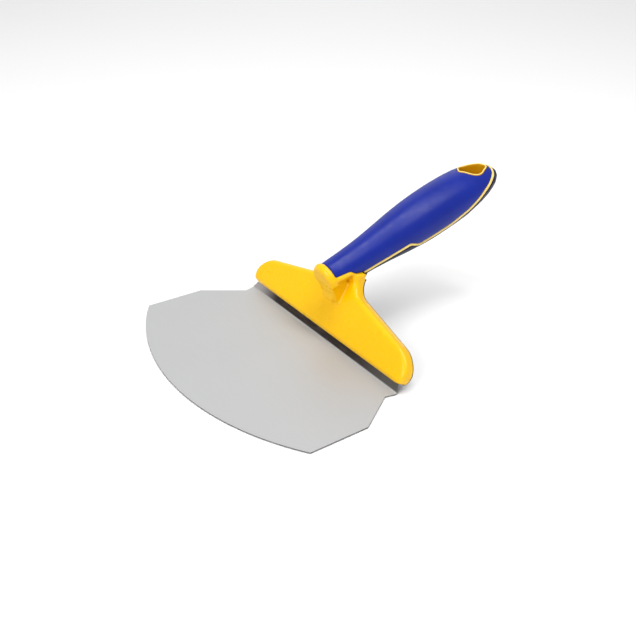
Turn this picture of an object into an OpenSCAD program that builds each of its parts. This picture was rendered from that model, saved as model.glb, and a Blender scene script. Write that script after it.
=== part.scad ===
// Half-moon taping knife: a steel blade with a bent-up back edge, clamped between
// two shells that run on into a raised, overmoulded handle with a hang hole.

/* [Blade] */
// Width of the blade
blade_w = 203; // [190:1:215]
// Thickness of the blade steel
blade_t = 1.0; // [0.8:0.1:1.2]
// Radius of the curved scraping edge
edge_r = 178; // [160:1:220]
// Distance from the bend to the ends of the scraping edge
edge_back = 76; // [70:1:85]
// Distance from the bend to the ends of the straight sides
side_back = 35; // [30:1:45]
// Width of the blade where it turns up into the head
flange_w = 167; // [150:1:170]
// Height of the turned-up edge, measured up its slope
flange_h = 21; // [18:1:22]
// Inside radius of the bend
bend_r = 1.5; // [1:0.1:2.5]

/* [Head] */
// Slope of the head and of the turned-up edge from the blade
head_slope = 58.8; // [55:0.1:65]
// Gap between the bend and the head's lower lip, up the slope
lip_v = 6; // [4:0.5:8]
// Front face of the head, out from the back of the turned-up edge
face_n = 4.6; // [4.4:0.1:6]
// Back edge of the front shell, behind the turned-up edge
rim_n = 2.5; // [2:0.1:3]
// Half width of the neck
neck_x = 13.6; // [12:0.1:15]
// Radius between neck and wings
neck_r = 12; // [8:0.5:14]

/* [Handle] */
// Rise of the handle from the blade
handle_rise = 17.3; // [14:0.1:20]
// Thickness of the soft grips
grip_t = 2.0; // [1.5:0.1:2.5]
// Thickness of the hard shells' walls
wall_t = 2.6; // [2:0.1:3]
// Height of the bright rim that shows between the grips
rim_h = 1.4; // [1:0.1:2]
// Gap between the rim and the lower grip
groove = 0.5; // [0.3:0.1:0.8]

/* [Hang hole] */
// Width of the hang hole
hang_w = 16.5; // [14:0.5:17.5]
// Length of the hang hole
hang_l = 22; // [20:0.5:23]
// Radius of the hang hole's front tip
hang_tip_r = 1.5; // [1:0.1:2.5]
// Radius of the hang hole's back end
hang_back_r = 4.5; // [3.5:0.1:5.5]
// Wall of the sleeve round the hang hole
sleeve_t = 1.5; // [1.2:0.1:2]

/* [Fasteners] */
// Radius of a blade screw's shank
blade_screw_r = 2.0; // [1.5:0.1:2.2]
// Radius of a handle screw's shank
handle_screw_r = 1.5; // [1.3:0.1:1.8]

/* [Hidden] */
$fn = 48;
eps = 0.01;
around = 28;

// The handle's own frame starts on its axis, above the head
axis_y = 20;
axis_z = 45.9;
ca = cos(handle_rise);
sa = sin(handle_rise);
cp = cos(head_slope);
sp = sin(head_slope);

// Stations of the handle: distance along the axis, half width, height over and depth under the axis
STATIONS = [
    [-14, 10.5, 10.4, 10.6],
    [0, 10.9, 10.8, 10.8],
    [14, 11.8, 11.4, 11.3],
    [30, 13.4, 13.0, 12.7],
    [46, 15.5, 14.8, 14.6],
    [63, 16.8, 16.4, 16.3],
    [80, 17.3, 16.8, 16.4],
    [96, 17.1, 16.2, 15.8],
    [108, 16.4, 14.6, 13.0],
    [118, 14.4, 12.0, 10.4],
    [126, 11.4, 8.8, 7.2],
    [131, 7.6, 5.2, 4.2],
    [133.5, 4.4, 2.4, 2.2]
];
tail_s = STATIONS[len(STATIONS) - 1][0];

// Parting line of the handle, along and over the axis
SEAM = [
    [8, -3.8], [27, -3.3], [45, -2.0], [52, -7.2], [80, -6.5], [96, -4.0],
    [104, -1.4], [112, 1.3], [120, 3.4], [128, 5.8], [140, 8.0]
];
// Lower edge of the upper grip in front of the parting line
GRIP_LIP = [[-30, 6.5], [-13, 4.1], [-1, 2.4], [1, -1.0]];

function spline(p, q, r, s, t) =
    0.5 * (2 * q + (r - p) * t + (2 * p - 5 * q + 4 * r - s) * t * t + (3 * q - p - 3 * r + s) * t * t * t);
function span(s, i = 0) = i >= len(STATIONS) - 2 || s < STATIONS[i + 1][0] ? i : span(s, i + 1);
function at(i) = STATIONS[max(0, min(len(STATIONS) - 1, i))];
function station(s, k) =
    let (i = span(s), t = (s - at(i)[0]) / (at(i + 1)[0] - at(i)[0]))
    spline(at(i - 1)[k], at(i)[k], at(i + 1)[k], at(i + 2)[k], t);

// One ring round the handle, at a depth under the skin
function shrink(size, depth) = max(size - depth, size * 0.35);
function ring(s, depth) = [
    for (j = [0:around - 1])
        let (a = 360 * j / around, up = a < 180 ? 2 : 3)
        [shrink(station(s, 1), depth) * cos(a), s, shrink(station(s, up), depth) * sin(a)]
];

// Points of the side view, as [y, z]
function on_handle(s, w) = [axis_y + s * ca - w * sa, axis_z + s * sa + w * ca];
function on_head(v, n) = [v * cp - n * sp, v * sp + n * cp];

tail_y = max([for (s = [120:0.5:tail_s], p = ring(s, 0)) on_handle(p[1], p[2])[0]]);
edge_drop = edge_r - sqrt(edge_r * edge_r - blade_w * blade_w / 4);
front_y = -(edge_back + edge_drop);
mid_y = (front_y + tail_y) / 2;

// Place of the hang hole's widest part, and how far in front and behind it the end circles stand
hang_y = 126.5;
hang_front = hang_l * 0.38;
hang_back = hang_l * 0.34;
rim_proud = 0.7;
cover_t = 1.3;
bar_w = 143.6;
bar_h = 9.2;
bar_t = 1.5;
fit = 0.2;
blade_screw_x = [-60, -22, 22, 60];
blade_screw_v = 14;
handle_screw_s = [30, 62, 90];

module in_place() {
    translate([0, -mid_y, 0]) children();
}

module on_face() {
    rotate([head_slope, 0, 0]) children();
}

module along_handle() {
    translate([0, axis_y, axis_z]) rotate([handle_rise, 0, 0]) children();
}

module side_view(width = 260) {
    rotate([90, 0, 90]) linear_extrude(width, center = true) children();
}

// Closed solid of the handle between two stations, at a depth under the skin
module handle_body(depth, s_from, s_to, step = 4) {
    count = ceil((s_to - s_from) / step);
    rows = [for (i = [0:count]) ring(s_from + (s_to - s_from) * i / count, depth)];
    points = [for (row = rows, p = row) p];
    sides = [
        for (i = [0:count - 1], j = [0:around - 1])
            let (a = i * around + j, b = i * around + (j + 1) % around)
            each [[a, b, a + around], [b, b + around, a + around]]
    ];
    caps = [[for (j = [around - 1:-1:0]) j], [for (j = [0:around - 1]) count * around + j]];
    along_handle() polyhedron(points, concat(sides, caps), convexity = 6);
}

// Everything in front of and above the parting line, lowered by drop
module front_side(drop = 0) {
    side_view() polygon(concat(
        [on_head(-40, -rim_n), on_head(47, -rim_n)],
        [for (p = SEAM) on_handle(p[0], p[1] - drop)],
        [on_handle(220, 9), [220, 260], [-220, 260], [-220, -60]]
    ));
}

// Everything above the upper grip's lower edge
module above_grip_edge(drop = 0) {
    along_handle() side_view() polygon(concat(
        [for (p = GRIP_LIP) [p[0], p[1] - drop]],
        [for (p = SEAM) [p[0], p[1] - drop]],
        [[220, 9], [220, 90], [-60, 90], [-60, 10]]
    ));
}

// Outline of the head on its slope
lobe_r = 8.7;
shoulder_r = 21;
lobe_c = [76.9, 12.5];
shoulder_c = lobe_c + (lobe_r - shoulder_r) * [cos(30), sin(30)];
wing_fall = 12.5;
wing_end = shoulder_c + shoulder_r * [cos(90 - wing_fall), sin(90 - wing_fall)];
fillet_x = neck_x + neck_r;
fillet_v = wing_end[1] + (wing_end[0] - fillet_x) * tan(wing_fall) + neck_r / cos(wing_fall);
function arc(c, r, from, to, n) = [
    for (i = [0:n])
        let (a = from + (to - from) * i / n)
        c + r * [cos(a), sin(a)]
];
half_outline = concat(
    [[lobe_c[0] + 2.6, lip_v]],
    arc(lobe_c, lobe_r, -42, 30, 7),
    arc(shoulder_c, shoulder_r, 34, 90 - wing_fall, 6),
    arc([fillet_x, fillet_v], neck_r, 270 - wing_fall, 180, 7)
);

function mirrored(points) = [for (i = [len(points) - 1:-1:0]) [-points[i][0], points[i][1]]];

module head_outline() {
    polygon(concat(half_outline, mirrored(half_outline)));
}

// The head's front edge is rounded in steps, each [inset, depth under the face]
EDGE_STEPS = [[0, 2.0], [0.8, 0.9], [2.2, 0.25], [3.6, 0]];

module head_plate() {
    for (step = EDGE_STEPS)
        on_face() translate([0, 0, -rim_n]) linear_extrude(face_n + rim_n - step[1])
            offset(delta = -step[0]) head_outline();
}

// Radius of the neck where it runs into the handle, and the nose's half width, front and bottom
neck_end_r = 10.7;
nose_x = 5.4;
nose_y = 6;
nose_z = 26.2;

// Block that carries the slope of the head over into the round of the handle
module neck() {
    hull() {
        on_face() translate([0, fillet_v - 2, 1]) cube([2 * neck_x, 10, face_n + rim_n - 2], center = true);
        along_handle() translate([0, 3, 0]) rotate([-90, 0, 0]) cylinder(r = neck_end_r, h = 9, $fn = 32);
    }
}

// Upright block under the collar, standing out of the face
module nose() {
    intersection() {
        translate([-nose_x, nose_y, nose_z]) cube([2 * nose_x, 24, axis_z - 3 - nose_z]);
        on_face() translate([-20, 10, 0]) cube([40, 60, 40]);
    }
}

module collar() {
    along_handle() intersection() {
        translate([0, -18.4, 0]) rotate([-90, 0, 0]) rotate_extrude()
            polygon([[0, 0], [9.6, 0], [10.9, 0.7], [11.5, 2.0], [11.5, 4.2], [11.0, 5.4], [0, 5.4]]);
        translate([-20, -30, -2]) cube([40, 40, 40]);
    }
}

// Raised edge that runs back from the collar along both sides of the upper grip
module side_lip() {
    difference() {
        intersection() {
            handle_body(-rim_proud, -14, 1);
            above_grip_edge(3);
        }
        above_grip_edge(0);
    }
}

// Hole through the tail: a wide middle drawn out to a blunt tip in front and a rounder end behind
module hang_hole(grow = 0) {
    r = hang_w / 2 + grow;
    tip_r = hang_tip_r + grow;
    back_r = hang_back_r + grow;
    tip_lean = asin((r - tip_r) / hang_front);
    back_lean = asin((r - back_r) / hang_back);
    translate([0, hang_y, 0]) linear_extrude(200) polygon(concat(
        arc([0, 0], r, -tip_lean, back_lean, 10),
        arc([0, hang_back], back_r, back_lean, 180 - back_lean, 10),
        arc([0, 0], r, 180 - back_lean, 180 + tip_lean, 10),
        arc([0, -hang_front], tip_r, 180 + tip_lean, 360 - tip_lean, 6)
    ));
}

module handle_cavity() {
    handle_body(grip_t + wall_t, 8, tail_s - 8);
}

// Upright column at a handle screw, between two heights over the axis
module screw_column(s, r, from, to) {
    along_handle() translate([0, s, from]) cylinder(r = r, h = to - from);
}

// Side view of the bend and of the turned-up edge
bend_out_r = bend_r + blade_t;
setback = bend_out_r * tan(head_slope / 2);
bend_steps = 8;
function bend_arc(r, a) = [-setback + r * sin(a), bend_out_r - r * cos(a)];
flange_profile = concat(
    [for (i = [0:bend_steps]) bend_arc(bend_out_r, head_slope * i / bend_steps)],
    [on_head(flange_h, 0), on_head(flange_h, blade_t)],
    [for (i = [bend_steps:-1:0]) bend_arc(bend_r, head_slope * i / bend_steps)]
);

// The turned-up edge narrows towards its top, inside the head: these are the corners cut off it
flange_corner = [[flange_w / 2 + 1, 3], [flange_w / 2 + 1, flange_h + 2], [flange_w / 2 - 12, flange_h + 2]];
module flange_corners() {
    polygon(flange_corner);
    mirror([1, 0, 0]) polygon(flange_corner);
}

// Right half of the flat blade's outline, from the bend to the scraping edge
half_w = blade_w / 2;
edge_sweep = asin(half_w / edge_r);
half_blade = [
    [flange_w / 2, -setback],
    [flange_w / 2 - 1.5, -8],
    [half_w - 0.8, -side_back],
    [half_w, -edge_back]
];

module blade() {
    color("lightgray") in_place() {
        linear_extrude(blade_t) polygon(concat(
            half_blade,
            arc([0, front_y + edge_r], edge_r, edge_sweep - 91, -edge_sweep - 89, 38),
            mirrored(half_blade)
        ));
        difference() {
            side_view(flange_w) polygon(flange_profile);
            on_face() translate([0, 0, -2]) linear_extrude(6) flange_corners();
            for (x = blade_screw_x) on_face() translate([x, blade_screw_v, -1])
                cylinder(r = blade_screw_r + 0.2, h = blade_t + 2);
        }
    }
}

module front_shell() {
    color("gold") in_place() difference() {
        intersection() {
            union() {
                head_plate();
                difference() {
                    neck();
                    above_grip_edge(0);
                }
                nose();
                collar();
                side_lip();
                intersection() {
                    handle_body(grip_t, -14, tail_s - 2);
                    above_grip_edge(7);
                }
                difference() {
                    intersection() {
                        handle_body(0, 8, tail_s);
                        above_grip_edge(rim_h);
                    }
                    above_grip_edge(0);
                }
            }
            front_side(rim_h);
        }
        difference() {
            handle_cavity();
            for (s = handle_screw_s) screw_column(s, 4, -20, 20);
        }
        for (s = handle_screw_s) screw_column(s, handle_screw_r, -20, 5);
        on_face() translate([0, 0, -rim_n - 1]) linear_extrude(rim_n + 1 + blade_t) intersection() {
            offset(delta = -2.4) head_outline();
            translate([-100, lip_v - 1]) square([200, 37 - lip_v]);
        }
        on_face() translate([0, 0, -rim_n - 1]) linear_extrude(rim_n + 1 + blade_t) difference() {
            translate([-flange_w / 2 - fit, 0]) square([flange_w + 2 * fit, flange_h]);
            offset(delta = -fit) flange_corners();
        }
        on_face() translate([-bar_w / 2 - fit, blade_screw_v - bar_h / 2 - fit, blade_t - eps])
            cube([bar_w + 2 * fit, bar_h + 2 * fit, bar_t + fit]);
        hang_hole(sleeve_t);
    }
}

module rear_shell() {
    color("midnightblue") in_place() difference() {
        union() {
            on_face() translate([0, 0, -rim_n - cover_t]) linear_extrude(rim_n + cover_t) intersection() {
                offset(delta = -2.6) head_outline();
                translate([-100, lip_v + 0.4]) square([200, 36.4 - lip_v]);
            }
            on_face() translate([0, 0, -rim_n - cover_t]) linear_extrude(cover_t) offset(delta = -0.2) head_outline();
            difference() {
                union() {
                    handle_body(grip_t, 8, tail_s - 2);
                    neck();
                }
                front_side(rim_h);
                difference() {
                    handle_cavity();
                    for (s = handle_screw_s) screw_column(s, 4.6, -20, 20);
                }
            }
        }
        for (s = handle_screw_s) {
            screw_column(s, handle_screw_r + 0.2, -20, 0);
            screw_column(s, 3.8, -20, 4.7 - station(s, 3));
        }
        for (x = blade_screw_x) on_face() translate([x, blade_screw_v, -rim_n - 2]) {
            cylinder(r = blade_screw_r + 0.1, h = rim_n + 4);
            cylinder(r = blade_screw_r + 2.1, h = 2.3);
        }
        hang_hole(sleeve_t);
    }
}

module upper_grip() {
    color("royalblue") in_place() difference() {
        intersection() {
            handle_body(0, -12.8, tail_s);
            above_grip_edge(0);
        }
        handle_body(grip_t, -13.9, tail_s - 2);
        hang_hole(sleeve_t);
    }
}

module lower_grip() {
    color("navy") in_place() difference() {
        handle_body(0, 9, tail_s);
        above_grip_edge(rim_h + groove);
        handle_body(grip_t, 4, tail_s - 2);
        hang_hole(sleeve_t);
        for (s = handle_screw_s) screw_column(s, 4.4, -30, -4);
    }
}

module hang_sleeve() {
    color("gold") in_place() difference() {
        intersection() {
            hang_hole(sleeve_t);
            handle_body(-rim_proud, 90, tail_s);
        }
        hang_hole();
    }
}

module clamp_bar() {
    color("gray") in_place() on_face() difference() {
        translate([-bar_w / 2, blade_screw_v - bar_h / 2, blade_t]) cube([bar_w, bar_h, bar_t]);
        for (x = blade_screw_x) translate([x, blade_screw_v, 0]) cylinder(r = blade_screw_r, h = 4);
    }
}

// Cross recess in a screw's head
module cross_slot() {
    for (a = [0, 90]) rotate(a) translate([-0.4, -3, -0.5]) cube([0.8, 6, 1.35]);
}

module blade_screws() {
    color("silver") in_place() for (x = blade_screw_x)
        on_face() translate([x, blade_screw_v, -rim_n - 1.4]) difference() {
            union() {
                cylinder(r = blade_screw_r, h = rim_n + 1.4 + blade_t + bar_t);
                cylinder(r = blade_screw_r + 1.9, h = 1.7);
            }
            cross_slot();
        }
}

module handle_screws() {
    color("silver") in_place() for (s = handle_screw_s)
        along_handle() translate([0, s, -station(s, 3) + 2.6]) difference() {
            union() {
                cylinder(r = handle_screw_r, h = 14);
                cylinder(r = handle_screw_r + 2.1, h = 2);
            }
            cross_slot();
        }
}

blade();
front_shell();
rear_shell();
upper_grip();
lower_grip();
hang_sleeve();
clamp_bar();
blade_screws();
handle_screws();
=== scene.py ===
import bmesh
import bpy
import math
from mathutils import Matrix, Vector


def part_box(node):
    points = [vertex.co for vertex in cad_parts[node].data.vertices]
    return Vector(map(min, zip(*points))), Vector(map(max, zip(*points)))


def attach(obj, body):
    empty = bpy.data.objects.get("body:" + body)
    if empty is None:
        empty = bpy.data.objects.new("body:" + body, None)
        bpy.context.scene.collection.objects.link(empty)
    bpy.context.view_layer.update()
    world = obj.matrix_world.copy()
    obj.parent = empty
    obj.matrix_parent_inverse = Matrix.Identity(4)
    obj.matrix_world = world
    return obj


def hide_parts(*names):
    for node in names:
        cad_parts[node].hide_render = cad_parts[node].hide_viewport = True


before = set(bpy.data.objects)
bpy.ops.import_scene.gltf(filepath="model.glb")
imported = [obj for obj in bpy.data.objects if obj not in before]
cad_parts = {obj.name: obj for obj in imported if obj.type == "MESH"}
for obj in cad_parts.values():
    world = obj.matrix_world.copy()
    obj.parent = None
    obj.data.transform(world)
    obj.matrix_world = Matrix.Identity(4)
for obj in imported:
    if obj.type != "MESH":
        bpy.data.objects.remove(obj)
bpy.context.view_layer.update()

scene = bpy.context.scene
scene.view_settings.view_transform = "Standard"


# Blade. One sheet of stainless steel, 1 mm thick, cut to a half moon with a long curved scraping edge.
# Its back edge is folded up in a press, and that turned-up edge is what the head grips. The flat is
# satin from rolling. The fold's dark band, lighter at its left end, is a painted reflection of the room.
MM = 0.001
BLADE_T = 1.0
BLADE_HALF = 101.5
EDGE_R = 178.0
EDGE_BACK = 76.0
FOLD_HALF = 83.5
FOLD_R = 2.5
FOLD_TOP = 20.5
HEAD_SLOPE = math.radians(58.8)
CREASE = math.radians(45)
edge_drop = EDGE_R - math.sqrt(EDGE_R**2 - BLADE_HALF**2)
BEND_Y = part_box("blade")[0].y / MM + EDGE_BACK + edge_drop
on_head = Matrix.Rotation(HEAD_SLOPE, 4, "X")


def finish_piece(piece, name, material, nodes):
    """Bring a piece made in millimetres from the fold into the frame, and give it its place and finish."""
    piece.name = name
    piece.data.name = name
    piece.data.transform(Matrix.Translation((0, BEND_Y * MM, 0)) @ Matrix.Scale(MM, 4))
    piece.data.materials.clear()
    piece.data.materials.append(material)
    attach(piece, "root")
    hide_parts(*nodes)
    return piece


def stand_in(bm, place=Matrix.Identity(4)):
    """A working object from a bmesh, its faces turned outwards."""
    bmesh.ops.remove_doubles(bm, verts=bm.verts, dist=0.001)
    bmesh.ops.recalc_face_normals(bm, faces=bm.faces)
    mesh = bpy.data.meshes.new("work")
    bm.to_mesh(mesh)
    bm.free()
    mesh.transform(place)
    mesh.shade_smooth()
    mesh.set_sharp_from_angle(angle=CREASE)
    work = bpy.data.objects.new("work", mesh)
    scene.collection.objects.link(work)
    return work


def settle(work):
    """Apply every modifier of a working object."""
    bpy.context.view_layer.update()
    seen = work.evaluated_get(bpy.context.evaluated_depsgraph_get())
    mesh = bpy.data.meshes.new_from_object(seen)
    work.modifiers.clear()
    work.data = mesh
    mesh.shade_smooth()
    return work


def soften(work, width, segments=3, angle=40):
    """Round the sharp edges and keep the flats flat."""
    bevel = work.modifiers.new("edges", "BEVEL")
    bevel.width = width
    bevel.segments = segments
    bevel.limit_method = "ANGLE"
    bevel.angle_limit = math.radians(angle)
    bevel.use_clamp_overlap = True
    bevel.harden_normals = True
    return settle(work)


def texture_place(nodes, links, stretch):
    """Object coordinates, stretched along one axis or another."""
    place = nodes.new("ShaderNodeTexCoord")
    turn = nodes.new("ShaderNodeMapping")
    turn.inputs["Scale"].default_value = stretch
    links.new(place.outputs["Object"], turn.inputs["Vector"])
    return turn.outputs["Vector"]


def noise(nodes, links, vector, scale, detail=3.0):
    grain = nodes.new("ShaderNodeTexNoise")
    grain.inputs["Scale"].default_value = scale
    grain.inputs["Detail"].default_value = detail
    links.new(vector, grain.inputs["Vector"])
    return grain.outputs["Fac"]


def blend(nodes, links, amount, first, second):
    """A colour between two others."""
    mix = nodes.new("ShaderNodeMix")
    mix.data_type = "RGBA"
    links.new(amount, mix.inputs["Factor"])
    for socket, colour in ((mix.inputs["A"], first), (mix.inputs["B"], second)):
        if isinstance(colour, tuple):
            socket.default_value = (*colour, 1)
        else:
            links.new(colour, socket)
    return mix.outputs["Result"]


def spread(nodes, links, value, low, high, to_low=0.0, to_high=1.0):
    """Stretch a value's range."""
    ramp = nodes.new("ShaderNodeMapRange")
    ramp.interpolation_type = "SMOOTHSTEP"
    ramp.inputs["From Min"].default_value = low
    ramp.inputs["From Max"].default_value = high
    ramp.inputs["To Min"].default_value = to_low
    ramp.inputs["To Max"].default_value = to_high
    links.new(value, ramp.inputs["Value"])
    return ramp.outputs["Result"]


def bump(nodes, links, height, strength, distance, shader):
    step = nodes.new("ShaderNodeBump")
    step.inputs["Strength"].default_value = strength
    step.inputs["Distance"].default_value = distance
    links.new(height, step.inputs["Height"])
    links.new(step.outputs["Normal"], shader.inputs["Normal"])


def new_material(name):
    material = bpy.data.materials.new(name)
    material.use_nodes = True
    tree = material.node_tree
    return material, tree.nodes, tree.links, tree.nodes["Principled BSDF"]


def blade_finish():
    material, nodes, links, shader = new_material("satin_blade_steel")
    shader.inputs["Metallic"].default_value = 0.35
    brushed = noise(nodes, links, texture_place(nodes, links, (1, 40, 40)), 60.0, 4.0)
    clouds = noise(nodes, links, texture_place(nodes, links, (1, 1, 1)), 14.0, 2.0)
    flat = blend(nodes, links, clouds, (0.462, 0.466, 0.470), (0.490, 0.494, 0.498))
    place = nodes.new("ShaderNodeTexCoord")
    parts = nodes.new("ShaderNodeSeparateXYZ")
    links.new(place.outputs["Object"], parts.inputs["Vector"])
    # Painted reflection on the turned-up fold: near black in the middle, light grey towards the left end and
    # dark grey towards the right, laid over the fold by height.
    left = spread(nodes, links, parts.outputs["X"], -0.080, -0.052, 1.0, 0.0)
    right = spread(nodes, links, parts.outputs["X"], 0.030, 0.080)
    reflection_noise = noise(nodes, links, texture_place(nodes, links, (1, 4, 4)), 90.0)
    streaks = spread(nodes, links, reflection_noise, 0.4, 0.65)
    fold_painted_reflection = blend(nodes, links, streaks, (0.018, 0.012, 0.010), (0.045, 0.030, 0.024))
    fold_painted_reflection = blend(nodes, links, left, fold_painted_reflection, (0.42, 0.40, 0.40))
    fold_painted_reflection = blend(nodes, links, right, fold_painted_reflection, (0.10, 0.095, 0.09))
    fold = spread(nodes, links, parts.outputs["Z"], 0.0012, 0.0020)
    # Painted shade on the sheet's cut edges and other faces that do not look up or down.
    facing = nodes.new("ShaderNodeSeparateXYZ")
    links.new(nodes.new("ShaderNodeNewGeometry").outputs["Normal"], facing.inputs["Vector"])
    level = nodes.new("ShaderNodeMath")
    level.operation = "ABSOLUTE"
    links.new(facing.outputs["Z"], level.inputs[0])
    painted_edge_shade = spread(nodes, links, level.outputs["Value"], 0.15, 0.75, 1.0, 0.0)
    flat = blend(nodes, links, painted_edge_shade, flat, (0.16, 0.155, 0.15))
    links.new(blend(nodes, links, fold, flat, fold_painted_reflection), shader.inputs["Base Color"])
    links.new(spread(nodes, links, brushed, 0.3, 0.7, 0.44, 0.54), shader.inputs["Roughness"])
    bump(nodes, links, brushed, 0.12, 0.0001, shader)
    return material


bm = bmesh.new()
setback = FOLD_R * math.tan(HEAD_SLOPE / 2)
edge_centre = Vector((0, EDGE_R - EDGE_BACK - edge_drop, 0))
first = bm.verts.new((-BLADE_HALF, -EDGE_BACK, 0))
sweep = 2 * math.asin(BLADE_HALF / EDGE_R)
bmesh.ops.spin(bm, geom=[first], cent=edge_centre, axis=(0, 0, 1), angle=sweep, steps=72)
bm.verts.ensure_lookup_table()
last = max(bm.verts, key=lambda v: v.co.x)
first = min(bm.verts, key=lambda v: v.co.x)
corners = [(BLADE_HALF - 0.8, -35), (FOLD_HALF - 1.5, -8), (FOLD_HALF, -setback)]
right = [bm.verts.new((x, y, 0)) for x, y in corners]
left = [bm.verts.new((-x, y, 0)) for x, y in corners]
for start, side in ((last, right), (first, left)):
    for a, b in zip([start] + side[:-1], side):
        bm.edges.new((a, b))
back = bm.edges.new((right[-1], left[-1]))
bmesh.ops.contextual_create(bm, geom=bm.edges)
bmesh.ops.spin(
    bm, geom=[back], cent=(0, -setback, FOLD_R), axis=(1, 0, 0), angle=HEAD_SLOPE, steps=10
)
bm.edges.ensure_lookup_table()
top = max(bm.edges, key=lambda e: sum(v.co.z for v in e.verts))
raised = bmesh.ops.extrude_edge_only(bm, edges=[top])
upper = [v for v in raised["geom"] if isinstance(v, bmesh.types.BMVert)]
up_slope = Vector((0, math.cos(HEAD_SLOPE), math.sin(HEAD_SLOPE)))
bmesh.ops.translate(bm, verts=upper, vec=up_slope * (FOLD_TOP - setback))
bmesh.ops.scale(bm, verts=upper, vec=(0.87, 1, 1))
bmesh.ops.remove_doubles(bm, verts=bm.verts, dist=0.001)
bmesh.ops.recalc_face_normals(bm, faces=bm.faces)
bm.faces.ensure_lookup_table()
if max(bm.faces, key=lambda f: f.calc_area()).normal.z > 0:
    bmesh.ops.reverse_faces(bm, faces=bm.faces)
mesh = bpy.data.meshes.new("work")
bm.to_mesh(mesh)
bm.free()
work = bpy.data.objects.new("work", mesh)
scene.collection.objects.link(work)
sheet = work.modifiers.new("sheet", "SOLIDIFY")
sheet.thickness = BLADE_T
sheet.offset = -1
settle(work)
soften(work, 0.18, 2, 35)
finish_piece(work, "steel_blade", blade_finish(), ["blade"])


# Front shell. One glossy yellow polypropylene moulding: the T-shaped face that the blade is clamped
# behind, the block and collar that meet the grip, the lips beside the grip, and a core that runs back
# inside the handle. Every corner is blended, as the mould was cut with a ball-nosed tool.
FACE_N = 4.6
RIM_N = 2.5
NECK_X = 13.6
NECK_R = 12.0
LIP_V = 6.0
LOBE = (76.9, 12.5)
LOBE_R = 8.7
SHOULDER_R = 21.0
WING_FALL = 12.5
AXIS = (0, 20, 45.9)
GRIP_T = 2.0
RIM_H = 1.4
GROOVE = 0.5
HANDLE_RISE = math.radians(17.3)
on_handle = Matrix.Translation(AXIS) @ Matrix.Rotation(HANDLE_RISE, 4, "X")
STATIONS = [  # distance along the axis, half width, height over and depth under it
    (-14, 10.5, 10.4, 10.6), (0, 10.9, 10.8, 10.8), (14, 11.8, 11.4, 11.3), (30, 13.4, 13.0, 12.7),
    (46, 15.5, 14.8, 14.6), (63, 16.8, 16.4, 16.3), (80, 17.3, 16.8, 16.4), (96, 17.1, 16.2, 15.8),
    (108, 16.4, 14.6, 13.0), (118, 14.4, 12.0, 10.4), (126, 11.4, 8.8, 7.2), (131, 7.6, 5.2, 4.2),
    (133.5, 4.4, 2.4, 2.2),
]
TAIL_S = STATIONS[-1][0]
TAIL_CAP = 0.8
NECK_END_R = 10.7
COLLAR_S = -18.4
NOSE_LOW = Vector((-5.4, 6, 26.2))
NOSE_HIGH = Vector((5.4, 28, 44))
CHIN_R = 9.4
GRIP_EDGE = [  # lower edge of the upper grip, along and over the axis
    (-30, 6.5), (-13, 4.1), (-1, 2.4), (1, -1.0), (8, -3.8), (27, -3.3), (45, -2.0), (52, -7.2),
    (80, -6.5), (96, -4.0), (104, -1.4), (112, 1.3), (120, 3.4), (128, 5.8), (140, 8.0),
]


def arc(centre, radius, start, end, steps):
    turns = [math.radians(start + (end - start) * i / steps) for i in range(steps + 1)]
    return [(centre[0] + radius * math.cos(a), centre[1] + radius * math.sin(a)) for a in turns]


def head_outline():
    """The T of the head on its slope: lip, lobe, shoulder, wing and the fillet into the neck."""
    inset = LOBE_R - SHOULDER_R
    shoulder = (LOBE[0] + inset * math.cos(math.radians(30)), LOBE[1] + inset * 0.5)
    wing_end = arc(shoulder, SHOULDER_R, 90 - WING_FALL, 90, 1)[0]
    fall = math.radians(WING_FALL)
    fillet_x = NECK_X + NECK_R
    fillet_v = wing_end[1] + (wing_end[0] - fillet_x) * math.tan(fall) + NECK_R / math.cos(fall)
    half = [(LOBE[0] + 2.6, LIP_V)]
    half += arc(LOBE, LOBE_R, -42, 30, 12)
    half += arc(shoulder, SHOULDER_R, 34, 90 - WING_FALL, 10)
    half += arc((fillet_x, fillet_v), NECK_R, 270 - WING_FALL, 180, 12)
    return half + [(-x, v) for x, v in reversed(half)], fillet_v


outline, fillet_v = head_outline()


def spline(p, q, r, s, t):
    return 0.5 * (2 * q + (r - p) * t + (2 * p - 5 * q + 4 * r - s) * t**2 + (3 * q - p - 3 * r + s) * t**3)


def handle_size(s, depth=0.0):
    """Half width, height and depth of the handle at a distance along it, under the skin."""
    last = len(STATIONS) - 1
    i = max(k for k in range(last) if k == 0 or STATIONS[k][0] <= s)
    t = min((s - STATIONS[i][0]) / (STATIONS[i + 1][0] - STATIONS[i][0]), 1.0)
    around = [STATIONS[max(0, min(last, i + k))] for k in (-1, 0, 1, 2)]
    sizes = [spline(*(row[k] for row in around), t) for k in (1, 2, 3)]
    past = max(0.0, min((s - TAIL_S) / TAIL_CAP, 0.995))
    cap = math.sqrt(1 - past**2)
    return [max(size - depth, size * 0.35) * cap for size in sizes]


def skin(s, turn, depth=0.0):
    """A point on the handle's skin, in the handle's own frame."""
    a, over, under = handle_size(s, depth)
    return Vector((a * math.cos(turn), s, (over if math.sin(turn) > 0 else under) * math.sin(turn)))


def grip_edge(s):
    """Height of the upper grip's lower edge, its corners eased."""
    def at(x):
        for (x0, y0), (x1, y1) in zip(GRIP_EDGE, GRIP_EDGE[1:]):
            if x <= x1:
                return y0 + (y1 - y0) * (x - x0) / (x1 - x0)
        return GRIP_EDGE[-1][1]
    return sum(at(s + shift) for shift in (-1.2, -0.6, 0, 0.6, 1.2)) / 5


def turn_at(s, height):
    """Angle round the handle at which the skin has a given height over the axis."""
    _, over, under = handle_size(s)
    return math.asin(max(-1.0, min(1.0, height / (over if height > 0 else under))))


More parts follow.
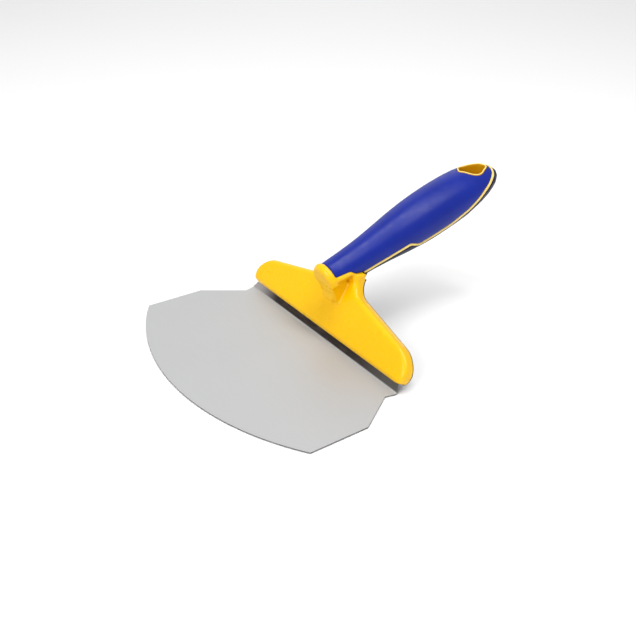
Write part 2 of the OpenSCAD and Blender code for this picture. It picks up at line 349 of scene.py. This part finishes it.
def slab(outline, low, high):
    """A flat outline made into a plate between two heights."""
    bm = bmesh.new()
    face = bm.faces.new([bm.verts.new((x, v, low)) for x, v in outline])
    raised = bmesh.ops.extrude_face_region(bm, geom=[face])
    verts = [v for v in raised["geom"] if isinstance(v, bmesh.types.BMVert)]
    bmesh.ops.translate(bm, verts=verts, vec=(0, 0, high - low))
    bmesh.ops.recalc_face_normals(bm, faces=bm.faces)
    return bm


def side_prism(points, half_width=60.0):
    """A cutting tool from a side view of (y, z) points, wide enough for the knife's middle."""
    bm = bmesh.new()
    face = bm.faces.new([bm.verts.new((-half_width, y, z)) for y, z in points])
    raised = bmesh.ops.extrude_face_region(bm, geom=[face])
    verts = [v for v in raised["geom"] if isinstance(v, bmesh.types.BMVert)]
    bmesh.ops.translate(bm, verts=verts, vec=(2 * half_width, 0, 0))
    return stand_in(bm)


def cut(work, tool, how="DIFFERENCE"):
    """Cut one working object with another, and leave the new edges crisp."""
    knife = work.modifiers.new("cut", "BOOLEAN")
    knife.operation = how
    knife.solver = "EXACT"
    knife.object = tool
    settle(work)
    work.data.set_sharp_from_angle(angle=CREASE)
    bpy.data.objects.remove(tool)
    return work


def handle_core(depth, start, end):
    """The handle's body at a depth under the skin, a closed tube with flat ends."""
    rings, around = int((end - start) / 1.5), 64
    bm = bmesh.new()
    bmesh.ops.create_grid(bm, x_segments=rings, y_segments=around, size=1)
    for v in bm.verts:
        s = start + (end - start) * (v.co.x + 1) / 2
        v.co = skin(s, math.pi * v.co.y, depth)
    bmesh.ops.remove_doubles(bm, verts=bm.verts, dist=0.001)
    bmesh.ops.holes_fill(bm, edges=bm.edges, sides=0)
    return stand_in(bm, on_handle)


def handle_point(s, w):
    spot = on_handle @ Vector((0, s, w))
    return spot.y, spot.z


def head_point(v, n):
    spot = on_head @ Vector((0, v, n))
    return spot.y, spot.z


def front_region(drop):
    """Side view of all that is in front of and above the parting line between the two shells."""
    seam = [handle_point(s, grip_edge(s) - drop) for s in range(8, 141, 2)]
    start = [head_point(-40, -RIM_N), head_point(47, -RIM_N)]
    return start + seam + [handle_point(220, 9), (220, 260), (-220, 260), (-220, -60)]


def above_edge(drop):
    """Side view of all that is above the upper grip's lower edge."""
    seam = [handle_point(s, grip_edge(s) - drop) for s in range(-26, 141)]
    return seam + [handle_point(220, 9), handle_point(220, 90), handle_point(-34, 90)]


def neck_block():
    """Hull from the head's neck to the round of the handle."""
    bm = bmesh.new()
    flat = Matrix.Translation((0, fillet_v - 2, 1)) @ Matrix.Diagonal((2 * NECK_X, 10, FACE_N + RIM_N - 2, 1))
    bmesh.ops.create_cube(bm, size=1, matrix=on_head @ flat)
    stand = on_handle @ Matrix.Translation((0, 7.5, 0)) @ Matrix.Rotation(math.pi / 2, 4, "X")
    bmesh.ops.create_cone(
        bm, cap_ends=True, segments=48, radius1=NECK_END_R, radius2=NECK_END_R, depth=9, matrix=stand
    )
    hull = bmesh.ops.convex_hull(bm, input=bm.verts)
    inside = [g for g in hull["geom_interior"] + hull["geom_unused"] if isinstance(g, bmesh.types.BMVert)]
    bmesh.ops.delete(bm, geom=inside, context="VERTS")
    return stand_in(bm)


def collar():
    """The ring at the front end of the grip: a turned profile, cut off under the axis."""
    profile = [(0, 0), (8.6, 0), (10.2, 0.6), (11.3, 2.0), (11.7, 3.6), (11.2, 5.5), (0, 5.5)]
    bm = bmesh.new()
    verts = [bm.verts.new((r, COLLAR_S + s, 0)) for r, s in profile]
    edges = [bm.edges.new(pair) for pair in zip(verts, verts[1:])]
    bmesh.ops.spin(
        bm, geom=verts + edges, cent=(0, 0, 0), axis=(0, 1, 0), angle=2 * math.pi, steps=64, use_merge=True
    )
    bmesh.ops.remove_doubles(bm, verts=bm.verts, dist=0.001)
    everything = bm.verts[:] + bm.edges[:] + bm.faces[:]
    bmesh.ops.bisect_plane(bm, geom=everything, plane_co=(0, 0, -2), plane_no=(0, 0, -1), clear_outer=True)
    bmesh.ops.holes_fill(bm, edges=bm.edges, sides=0)
    return stand_in(bm, on_handle)


def nose():
    """The upright block under the collar, its corners rounded."""
    bm = bmesh.new()
    size = Matrix.Diagonal((*(NOSE_HIGH - NOSE_LOW), 1))
    box = Matrix.Translation((NOSE_LOW + NOSE_HIGH) / 2) @ size
    bmesh.ops.create_cube(bm, size=1, matrix=box)
    bmesh.ops.bevel(
        bm, geom=bm.edges, offset=1.4, segments=3, profile=0.5, affect="EDGES", material=-1
    )
    return stand_in(bm)


def chin():
    """The full round under the collar that carries it down into the face."""
    bm = bmesh.new()
    disc = on_handle @ Matrix.Translation((0, -16.4, 1.4)) @ Matrix.Rotation(math.pi / 2, 4, "X")
    bmesh.ops.create_cone(
        bm, cap_ends=True, segments=32, radius1=CHIN_R, radius2=CHIN_R, depth=2.4, matrix=disc
    )
    foot = on_head @ Matrix.Translation((0, 34, 3)) @ Matrix.Diagonal((15, 16, 2, 1))
    bmesh.ops.create_cube(bm, size=1, matrix=foot)
    bmesh.ops.convex_hull(bm, input=bm.verts)
    return stand_in(bm)


def plastic_finish(name, colour, shade, roughness):
    """Moulded plastic: a slow drift of colour and gloss, and a fine orange-peel skin."""
    material, nodes, links, shader = new_material(name)
    place = texture_place(nodes, links, (1, 1, 1))
    drift = spread(nodes, links, noise(nodes, links, place, 22.0, 2.0), 0.35, 0.65)
    links.new(blend(nodes, links, drift, colour, shade), shader.inputs["Base Color"])
    peel = noise(nodes, links, place, 900.0, 2.0)
    links.new(
        spread(nodes, links, noise(nodes, links, place, 120.0), 0.3, 0.7, roughness - 0.04, roughness + 0.04),
        shader.inputs["Roughness"],
    )
    shader.inputs["IOR"].default_value = 1.49
    shader.inputs["Specular IOR Level"].default_value = 0.35
    bump(nodes, links, peel, 0.06, 0.0002, shader)
    return material


def voxel_blend(work, voxel, passes):
    """Melt overlapping solids into one skin and ease its corners, as a mould's blends do."""
    melt = work.modifiers.new("melt", "REMESH")
    melt.mode = "VOXEL"
    melt.voxel_size = voxel
    ease = work.modifiers.new("ease", "SMOOTH")
    ease.factor = 0.5
    ease.iterations = passes
    return settle(work)


def joined(works):
    """Several working objects as one."""
    bm = bmesh.new()
    for work in works:
        bm.from_mesh(work.data)
        bpy.data.objects.remove(work)
    mesh = bpy.data.meshes.new("work")
    bm.to_mesh(mesh)
    bm.free()
    mesh.shade_smooth()
    mesh.set_sharp_from_angle(angle=CREASE)
    both = bpy.data.objects.new("work", mesh)
    scene.collection.objects.link(both)
    return both


TRIM = 2.5
bm = slab(outline, -RIM_N - TRIM, FACE_N)
front = max(bm.faces, key=lambda f: f.calc_center_median().z)
bmesh.ops.bevel(
    bm, geom=front.edges[:], offset=3.0, segments=6, profile=0.5, affect="EDGES", clamp_overlap=False,
    material=-1,
)
back = min(bm.faces, key=lambda f: f.calc_center_median().z)
bmesh.ops.inset_region(bm, faces=[back], thickness=2.4)
bmesh.ops.translate(bm, verts=back.verts[:], vec=(0, 0, RIM_N + TRIM + BLADE_T))
face_plate = stand_in(bm, on_head)

neck = cut(neck_block(), side_prism(above_edge(0)))
block = cut(nose(), side_prism([head_point(10, 0.5), head_point(90, 0.5), (-60, 90), (-60, 0)]), "INTERSECT")
core = cut(handle_core(GRIP_T, -14, TAIL_S - 2), side_prism(above_edge(7)), "INTERSECT")
lips = cut(handle_core(-0.7, -14, 1), side_prism(above_edge(3)), "INTERSECT")
cut(lips, side_prism(above_edge(0)))
VOXEL = 0.62
shell = voxel_blend(joined([face_plate, neck, block, chin(), core, lips, collar()]), VOXEL, 9)
cut(shell, side_prism(front_region(RIM_H), 120), "INTERSECT")


# Bright rim. A thin fin along the edge of the yellow moulding stands out between the two grips, and
# runs round the tail from one side to the other. It is moulded with the front shell, in the same yellow;
# its paler yellow here is a painted highlight along the thin ridge, so it is kept as a piece of its own.
def swept_band(path, normals, profile, swell):
    """A closed band with one profile carried along a path, widened by a share at each place."""
    bm = bmesh.new()
    bmesh.ops.create_grid(bm, x_segments=len(path) - 1, y_segments=len(profile), size=1)
    closed = profile + profile[:1]
    for v in bm.verts:
        i = round((v.co.x + 1) / 2 * (len(path) - 1))
        across, out = closed[round((v.co.y + 1) / 2 * len(profile))]
        ahead = (path[min(i + 1, len(path) - 1)] - path[max(i - 1, 0)]).normalized()
        side = normals[i].cross(ahead).normalized()
        v.co = path[i] + side * across * swell[i] + normals[i] * out
    bmesh.ops.remove_doubles(bm, verts=bm.verts, dist=0.0005)
    bmesh.ops.holes_fill(bm, edges=bm.edges, sides=0)
    return stand_in(bm, on_handle)


def skin_normal(s, turn):
    """Outward direction of the handle's skin."""
    step = 0.05
    along = skin(s + step, turn) - skin(s - step, turn)
    round_it = skin(s, turn + step) - skin(s, turn - step)
    out = along.cross(round_it)
    return -out.normalized() if out.dot(Vector((math.cos(turn), 0, math.sin(turn)))) < 0 else out.normalized()


def crossing(drop):
    """How far along the handle a seam meets the crown of the tail."""
    s = 120.0
    while grip_edge(s) - drop < handle_size(s)[1]:
        s += 0.002
    return s


def seam_path(drop, start):
    """Places along the seam on the skin, down one side, over the tail and back up the other."""
    end, steps = crossing(drop), 110
    one_side = []
    for i in range(steps):
        s = start + (end - start) * math.sin(math.pi / 2 * i / steps)
        one_side.append((s, turn_at(s, grip_edge(s) - drop)))
    one_side.append((end, math.pi / 2))
    other = [(s, math.pi - turn) for s, turn in reversed(one_side[:-1])]
    return one_side + other


half_rim = RIM_H / 2
rim_profile = [
    (-half_rim, -2.4), (half_rim, -2.4), (half_rim, 0.05), (half_rim * 0.6, 0.35),
    (-half_rim * 0.6, 0.35), (-half_rim, 0.05),
]
places = seam_path(half_rim, 8)
rim = swept_band(
    [skin(s, turn) for s, turn in places],
    [skin_normal(s, turn) for s, turn in places],
    rim_profile,
    [1.0 + 0.3 * max(0.0, min(1.0, (s - 60) / 50)) for s, _ in places],
)
# A paler copy of the yellow: painted highlight on the rim.
pale = plastic_finish("yellow_edge_painted_highlight", (0.93, 0.70, 0.22), (0.90, 0.66, 0.18), 0.30)
finish_piece(rim, "bright_rim", pale, ["front_shell"])
yellow = plastic_finish("glossy_yellow_moulding", (0.92, 0.53, 0.0), (0.88, 0.49, 0.0), 0.28)


# Hang sleeve. A tube of the same yellow plastic, pushed through the tail from above, with a rolled rim
# that stands a little proud of the upper grip. The knife hangs from it on a nail. Its hole is then cut
# through the front shell, with the relief that clears the blade's fold.
HANG_Y = 126.5
HANG_R = 8.25
HANG_TIP = 8.36
HANG_TIP_R = 1.5
HANG_BACK = 7.48
HANG_BACK_R = 4.5
SLEEVE_T = 1.1


def hang_outline(grow, count=120):
    """The hang hole from above in even steps: a wide middle, a blunt front tip and a rounder back."""
    middle_r, tip_r, back_r = HANG_R + grow, HANG_TIP_R + grow, HANG_BACK_R + grow
    tip_lean = math.degrees(math.asin((middle_r - tip_r) / HANG_TIP))
    back_lean = math.degrees(math.asin((middle_r - back_r) / HANG_BACK))
    ring = arc((0, HANG_Y), middle_r, -tip_lean, back_lean, 16)
    ring += arc((0, HANG_Y + HANG_BACK), back_r, back_lean, 180 - back_lean, 16)
    ring += arc((0, HANG_Y), middle_r, 180 - back_lean, 180 + tip_lean, 16)
    ring += arc((0, HANG_Y - HANG_TIP), tip_r, 180 + tip_lean, 360 - tip_lean, 10)
    lengths = [math.dist(p, q) for p, q in zip(ring, ring[1:] + ring[:1])]
    even, gone, k = [], 0.0, 0
    for step in range(count):
        go = sum(lengths) * step / count
        while go > gone + lengths[k]:
            gone += lengths[k]
            k += 1
        (x0, y0), (x1, y1) = ring[k], ring[(k + 1) % len(ring)]
        part = (go - gone) / lengths[k] if lengths[k] else 0
        even.append((x0 + (x1 - x0) * part, y0 + (y1 - y0) * part))
    return even


def skin_height(x, y, over):
    """Height of the handle's skin straight above or below a place."""
    w = 10.0 if over else -10.0
    for _ in range(16):
        s = (y - AXIS[1] + w * math.sin(HANDLE_RISE)) / math.cos(HANDLE_RISE)
        a, up, down = handle_size(min(s, TAIL_S - 0.2))
        rise = math.sqrt(max(0.02, 1 - (x / a) ** 2))
        w = 0.5 * w + 0.5 * (up * rise if over else -down * rise)
    return AXIS[2] + s * math.sin(HANDLE_RISE) + w * math.cos(HANDLE_RISE)


def sleeve():
    """The tube: its section goes up the outside, over the rolled rim, down the hole and back."""
    sections = [  # share of the wall inwards, top or bottom, height off the handle's skin
        (0, True, -1.2), (0, True, 0.2), (0.25, True, 0.5), (0.5, True, 0.6), (0.75, True, 0.5),
        (1, True, 0.1), (1, True, -1.5), (1, False, 1.5), (1, False, 0.3), (0.5, False, 0.0),
        (0, False, 0.2), (0, False, 1.2),
    ]
    outer, inner = hang_outline(SLEEVE_T), hang_outline(0)
    bm = bmesh.new()
    bmesh.ops.create_grid(bm, x_segments=len(sections), y_segments=len(outer), size=1)
    for v in bm.verts:
        share, over, lift = sections[round((v.co.x + 1) / 2 * len(sections)) % len(sections)]
        k = round((v.co.y + 1) / 2 * len(outer)) % len(outer)
        place = Vector(outer[k]).lerp(Vector(inner[k]), share)
        v.co = (*place, skin_height(*outer[k], over) + lift)
    return stand_in(bm)


def sleeve_finish():
    """The same plastic, with a painted highlight on faces that look up or down, such as the rolled rim's top,
    and painted shade on the upright walls down in the hole.
    """
    bore = plastic_finish("sleeve_painted_shade_and_highlight", (0.60, 0.30, 0.0), (0.52, 0.24, 0.0), 0.34)
    nodes, links = bore.node_tree.nodes, bore.node_tree.links
    shader = nodes["Principled BSDF"]
    painted_bore_shade = shader.inputs["Base Color"].links[0].from_socket
    facing = nodes.new("ShaderNodeSeparateXYZ")
    links.new(nodes.new("ShaderNodeNewGeometry").outputs["Normal"], facing.inputs["Vector"])
    level = nodes.new("ShaderNodeMath")
    level.operation = "ABSOLUTE"
    links.new(facing.outputs["Z"], level.inputs[0])
    # Painted highlight where the faces look up or down, over the painted shade of the upright walls.
    rolled = spread(nodes, links, level.outputs["Value"], 0.25, 0.6)
    links.new(blend(nodes, links, rolled, painted_bore_shade, (0.93, 0.68, 0.16)), shader.inputs["Base Color"])
    return bore


def hang_cutter(grow):
    """A tool the shape of the hang hole."""
    bm = slab(hang_outline(grow), 30, 130)
    return stand_in(bm)


cut(shell, hang_cutter(SLEEVE_T))
relief = bmesh.new()
box = Matrix.Translation((0, 4, -1.5)) @ Matrix.Diagonal((2 * FOLD_HALF + 0.4, 9, 5, 1))
bmesh.ops.create_cube(relief, size=1, matrix=box)
cut(shell, stand_in(relief, on_head))
finish_piece(shell, "yellow_front_shell", yellow, ["front_shell"])
finish_piece(sleeve(), "hang_sleeve_tube", sleeve_finish(), ["hang_sleeve"])


# Upper grip. Blue thermoplastic rubber moulded over the yellow core, 2 mm thick, from the collar to the
# tail. It is satin to the touch, with rounded edges that leave a fine dark groove beside the rim.
EDGE_EASE = [  # distance in from the edge, and depth under the skin
    (0.0, 0.75), (0.06, 0.45), (0.2, 0.22), (0.42, 0.07), (0.75, 0.0),
]


def grip_sheet(drop, start, end):
    """The skin of the upper grip from edge to edge, rolled under along its edges."""
    rows, columns, ease = 150, 44, len(EDGE_EASE)
    bm = bmesh.new()
    bmesh.ops.create_grid(bm, x_segments=rows, y_segments=columns, size=1)
    for v in bm.verts:
        row = round((v.co.x + 1) / 2 * rows)
        column = round((v.co.y + 1) / 2 * columns)
        s = start + (end - start) * math.sin(math.pi / 2 * row / rows)
        depth = 0.0
        if row < ease:
            s, depth = start + 2 * EDGE_EASE[row][0], EDGE_EASE[row][1]
        edge = turn_at(s, grip_edge(s) - drop)
        sweep = math.pi - 2 * edge
        length = abs(sweep) * sum(handle_size(s)[:2]) / 2
        fit = min(1.0, length / 4)
        near = min(column, columns - column)
        if near < ease:
            t = EDGE_EASE[near][0] * fit / length
            depth = max(depth, EDGE_EASE[near][1])
        else:
            rim_t = EDGE_EASE[-1][0] * fit / length
            t = rim_t + (1 - 2 * rim_t) * (near - ease + 1) / (columns - 2 * ease + 2)
        t = t if column == near else 1 - t
        v.co = skin(s, edge + sweep * t, depth)
    bmesh.ops.remove_doubles(bm, verts=bm.verts, dist=0.001)
    bmesh.ops.holes_fill(bm, edges=bm.edges, sides=90)
    return stand_in(bm, on_handle)


def thicken(work, wall):
    """Give a sheet its wall, inwards."""
    mesh = work.data
    middle = on_handle @ Vector((0, 60, 0))
    face = max(mesh.polygons, key=lambda p: p.area)
    if face.normal.dot(face.center - middle) < 0:
        mesh.flip_normals()
    skin_wall = work.modifiers.new("wall", "SOLIDIFY")
    skin_wall.thickness = wall
    skin_wall.offset = -1
    return settle(work)


def rubber_finish(name, colour, shade, roughness):
    """Soft rubber: satin, with a slow drift of colour and gloss and a fine spark-eroded grain."""
    material, nodes, links, shader = new_material(name)
    place = texture_place(nodes, links, (1, 1, 1))
    drift = spread(nodes, links, noise(nodes, links, place, 30.0, 3.0), 0.3, 0.7)
    links.new(blend(nodes, links, drift, colour, shade), shader.inputs["Base Color"])
    grain = noise(nodes, links, place, 1600.0, 3.0)
    links.new(
        spread(nodes, links, noise(nodes, links, place, 200.0), 0.3, 0.7, roughness - 0.05, roughness + 0.05),
        shader.inputs["Roughness"],
    )
    shader.inputs["IOR"].default_value = 1.5
    shader.inputs["Specular IOR Level"].default_value = 0.2
    bump(nodes, links, grain, 0.10, 0.0002, shader)
    return material


LIFT = 0.2
HOLE_GAP = 0.4
upper = thicken(grip_sheet(-LIFT, -12.9, crossing(-LIFT) - 0.02), GRIP_T)
cut(upper, hang_cutter(SLEEVE_T + HOLE_GAP))
blue = rubber_finish("satin_blue_rubber", (0.008, 0.022, 0.27), (0.006, 0.018, 0.23), 0.34)
finish_piece(upper, "blue_upper_grip", blue, ["upper_grip"])


# Lower grip. The same blue rubber, moulded under the parting line and round the tail, coloured a much
# darker navy as painted shade for the underside. Its edges are softly rounded, and it has a well for each
# screw that closes the handle.
SCREW_S = [30, 62, 90]


def well(s, radius, low, high):
    """A round tool across the handle at a screw."""
    bm = bmesh.new()
    stand = Matrix.Translation((0, s, (low + high) / 2))
    bmesh.ops.create_cone(
        bm, cap_ends=True, segments=48, radius1=radius, radius2=radius, depth=high - low, matrix=stand
    )
    return stand_in(bm, on_handle)


lower = cut(handle_core(0, 9, TAIL_S + 0.5), side_prism(above_edge(RIM_H + GROOVE)))
lower = voxel_blend(lower, 0.55, 6)
cut(lower, handle_core(GRIP_T, 4, TAIL_S - 2))
cut(lower, hang_cutter(SLEEVE_T + HOLE_GAP))
for s in SCREW_S:
    cut(lower, well(s, 4.4, -30, -4))
# Near-black blue: the grip's own blue darkened as painted shade.
shaded_blue = rubber_finish("satin_blue_rubber_painted_shade", (0.004, 0.005, 0.035), (0.006, 0.006, 0.045), 0.42)
finish_piece(lower, "lower_grip_painted_shade", shaded_blue, ["lower_grip"])


# Rear shell. A dark polypropylene moulding that closes the head from behind and runs back as the lower
# half of the handle's core. From in front it shows only as a thin line behind the yellow edge.
COVER_T = 1.3
bm = slab([(x * 0.998, v) for x, v in outline], -RIM_N - COVER_T, -RIM_N)
back = min(bm.faces, key=lambda f: f.calc_center_median().z)
bmesh.ops.bevel(
    bm, geom=back.edges[:], offset=0.7, segments=3, profile=0.5, affect="EDGES", clamp_overlap=False,
    material=-1,
)
cover = stand_in(bm, on_head)
bm = slab([(x * 0.965, LIP_V + 0.6 + (v - LIP_V) * 0.93) for x, v in outline], -RIM_N - 0.5, 0)
tongue = stand_in(bm, on_head)
rear = voxel_blend(joined([neck_block(), handle_core(GRIP_T, 8, TAIL_S - 2)]), VOXEL, 4)
cut(rear, side_prism(front_region(RIM_H), 120))
cut(rear, hang_cutter(SLEEVE_T))
for s in SCREW_S:
    cut(rear, well(s, 3.8, -30, 4.7 - handle_size(s)[2]))
rear = joined([rear, cover, tongue])
black = plastic_finish("dark_moulding", (0.008, 0.009, 0.018), (0.012, 0.013, 0.024), 0.36)
finish_piece(rear, "dark_rear_shell", black, ["rear_shell"])


# Screws. Zinc-plated pan heads with a cross recess: four hold the blade and the bar from behind, and
# three close the handle from below, down in the wells of the lower grip.
BLADE_SCREW_X = [-60, -22, 22, 60]
BLADE_SCREW_V = 14


def zinc_finish(name, tone):
    material, nodes, links, shader = new_material(name)
    shader.inputs["Metallic"].default_value = 1.0
    place = texture_place(nodes, links, (1, 1, 1))
    mottle = noise(nodes, links, place, 260.0, 3.0)
    dull = tuple(0.82 * c for c in tone)
    links.new(blend(nodes, links, mottle, tone, dull), shader.inputs["Base Color"])
    links.new(spread(nodes, links, mottle, 0.3, 0.7, 0.25, 0.42), shader.inputs["Roughness"])
    bump(nodes, links, mottle, 0.08, 0.0001, shader)
    return material


def screw(head_r, head_h, shank_r, length, place):
    """A pan-head screw standing on its head, turned from its half section, with a cross recess."""
    profile = [(0, 0), (head_r - 0.9, 0.02), (head_r - 0.25, 0.3), (head_r, 0.8), (head_r, head_h)]
    profile += [(shank_r, head_h), (shank_r, length - 0.4), (shank_r - 0.4, length), (0, length)]
    bm = bmesh.new()
    verts = [bm.verts.new((r, 0, z)) for r, z in profile]
    edges = [bm.edges.new(pair) for pair in zip(verts, verts[1:])]
    bmesh.ops.spin(
        bm, geom=verts + edges, cent=(0, 0, 0), axis=(0, 0, 1), angle=2 * math.pi, steps=40, use_merge=True
    )
    piece = stand_in(bm, place)
    for turn in (0, math.pi / 2):
        slot = bmesh.new()
        size = Matrix.Diagonal((0.8, 0.62 * 2 * head_r, 2.0, 1))
        bmesh.ops.create_cube(slot, size=1, matrix=Matrix.Rotation(turn, 4, "Z") @ size)
        cut(piece, stand_in(slot, place))
    return soften(piece, 0.06, 2, 50)


zinc = zinc_finish("zinc_plate", (0.62, 0.62, 0.60))
behind = [on_head @ Matrix.Translation((x, BLADE_SCREW_V, -RIM_N - 1.75)) for x in BLADE_SCREW_X]
blade_screws = joined([screw(3.9, 1.7, 2.0, 6.5, place) for place in behind])
finish_piece(blade_screws, "blade_screw_set", zinc, ["blade_screws"])
under = [on_handle @ Matrix.Translation((0, s, 2.6 - handle_size(s)[2])) for s in SCREW_S]
handle_screws = joined([screw(3.6, 2.0, 1.5, 14, place) for place in under])
finish_piece(handle_screws, "handle_screw_set", zinc, ["handle_screws"])


# Clamp bar. A flat steel bar in a slot behind the yellow face, tapped for the four blade screws, which
# pull the blade's turned-up edge against it.
BAR_W = 143.6
BAR_H = 9.2
BAR_T = 1.5
bar = bmesh.new()
size = Matrix.Diagonal((BAR_W, BAR_H, BAR_T, 1))
middle = Matrix.Translation((0, BLADE_SCREW_V, BLADE_T + BAR_T / 2))
bmesh.ops.create_cube(bar, size=1, matrix=middle @ size)
bar = stand_in(bar, on_head)
for x in BLADE_SCREW_X:
    hole = bmesh.new()
    bmesh.ops.create_cone(
        hole, cap_ends=True, segments=40, radius1=2.0, radius2=2.0, depth=6,
        matrix=Matrix.Translation((x, BLADE_SCREW_V, BLADE_T)),
    )
    cut(bar, stand_in(hole, on_head))
soften(bar, 0.2, 2)
bar_steel = zinc_finish("bar_steel_finish", (0.42, 0.42, 0.41))
finish_piece(bar, "steel_clamp_bar", bar_steel, ["clamp_bar"])


# Floor. A plain pale sheet under the knife.
bm = bmesh.new()
bmesh.ops.create_grid(bm, x_segments=4, y_segments=4, size=6)
bmesh.ops.translate(bm, verts=bm.verts, vec=(0, 0, -0.0003))
mesh = bpy.data.meshes.new("floor")
bm.to_mesh(mesh)
bm.free()
floor = bpy.data.objects.new("floor", mesh)
scene.collection.objects.link(floor)
material, nodes, links, shader = new_material("pale_paper")
shade = noise(nodes, links, texture_place(nodes, links, (1, 1, 1)), 3.0)
links.new(blend(nodes, links, shade, (0.93, 0.93, 0.93), (0.95, 0.95, 0.95)), shader.inputs["Base Color"])
shader.inputs["Roughness"].default_value = 0.9
shader.inputs["Specular IOR Level"].default_value = 0.1
mesh.materials.append(material)


# Light and camera. A white room and three soft boxes, of which the long one overhead draws the streak
# along the handle. The camera looks down on the knife from in front and to one side.
world = bpy.data.worlds.new("white_room")
world.use_nodes = True
world.node_tree.nodes["Background"].inputs["Color"].default_value = (1, 1, 1, 1)
world.node_tree.nodes["Background"].inputs["Strength"].default_value = 0.45
scene.world = world


def soft_box(name, place, aim, width, length, power):
    data = bpy.data.lights.new(name, "AREA")
    data.shape = "RECTANGLE"
    data.size = width
    data.size_y = length
    data.energy = power
    light = bpy.data.objects.new(name, data)
    scene.collection.objects.link(light)
    light.location = place
    light.rotation_euler = (Vector(aim) - Vector(place)).to_track_quat("-Z", "Y").to_euler()
    return light


soft_box("back_box", (-1.20, 0.85, 0.95), (0.0, -0.03, 0.0), 1.7, 1.3, 5.0)
soft_box("overhead_box", (0.22, 0.10, 1.10), (0.0, 0.03, 0.08), 0.22, 1.2, 9.0)
soft_box("front_box", (0.35, -1.30, 0.90), (0.0, -0.03, 0.0), 1.2, 0.8, 13.0)

camera_data = bpy.data.cameras.new("camera")
camera_data.lens = 54.84
camera = bpy.data.objects.new("camera", camera_data)
scene.collection.objects.link(camera)
camera.location = (0.45741, (-316.24 + BEND_Y) * MM, 0.33717)
camera.rotation_euler = (math.radians(90 - 30.152), 0, math.radians(55.417))
scene.camera = camera
